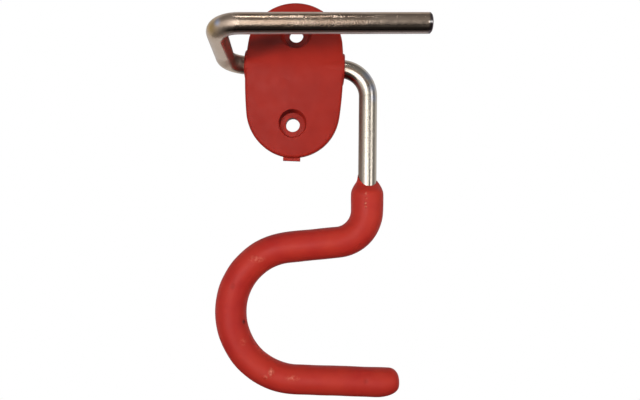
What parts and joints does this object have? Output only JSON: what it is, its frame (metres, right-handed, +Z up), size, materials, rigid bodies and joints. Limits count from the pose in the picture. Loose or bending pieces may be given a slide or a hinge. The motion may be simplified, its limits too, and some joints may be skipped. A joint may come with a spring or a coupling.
{
  "type": "garage utility hook",
  "caption": "Wall plate with a bent steel rod that swivels in it: a dipped S-shaped hook on one side and a straight stop arm on the other.",
  "frame": {"origin": "on the wall plane, midway between the centres of the two screw holes", "axes": "+X to the right along the hinge line, +Y into the wall, +Z up with the hook hanging down"},
  "size_m": [0.0869, 0.052, 0.1704],
  "materials": {
    "red_moulding": "satin moulded red plastic",
    "plated_rod": "bright zinc plating, slightly pitted and warm in tone",
    "red_dip": "satin dipped red vinyl with a slightly lumpy surface"
  },
  "bodies": {
    "plate": {"wall_plate": "red_moulding"},
    "hook": {"hook_rod": "plated_rod", "hook_sleeve": "red_dip"}
  },
  "joints": [
    {"name": "hook_swivel", "type": "hinge", "parent": "plate", "child": "hook", "pos_m": [0, -0.0046, 0.00575], "axis": [-1, 0, 0], "range_deg": [0, 73.8]}
  ]
}
